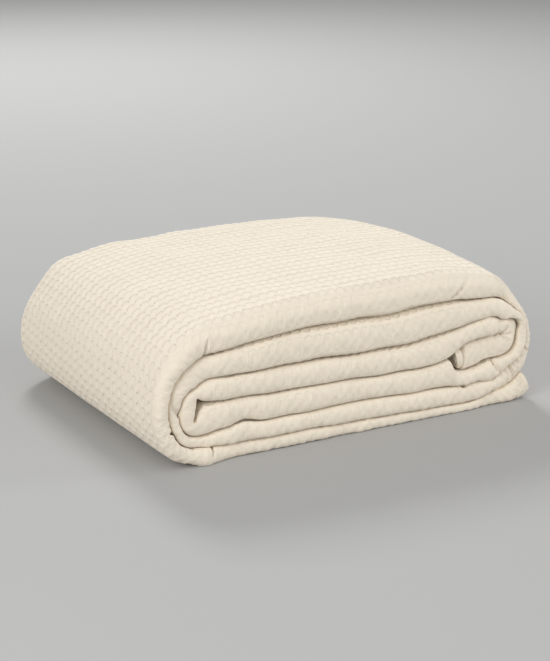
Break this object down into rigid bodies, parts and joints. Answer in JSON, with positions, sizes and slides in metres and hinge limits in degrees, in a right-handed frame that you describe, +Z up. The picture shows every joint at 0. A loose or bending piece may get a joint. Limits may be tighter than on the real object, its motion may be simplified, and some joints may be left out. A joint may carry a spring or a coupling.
{
  "type": "folded blanket",
  "caption": "Waffle weave cotton blanket, folded lengthwise into a strip and rolled flat into a soft rectangular block.",
  "frame": {"origin": "middle of the block's footprint, on the surface that it lies on", "axes": "+Z up, +X to the right along the strip, -Y to the front, where the strip's closed edge shows"},
  "size_m": [0.3768, 0.2846, 0.128],
  "materials": {
    "cream_cotton": "matte waffle weave"
  },
  "bodies": {
    "root": {"blanket": "cream_cotton"}
  },
  "joints": []
}
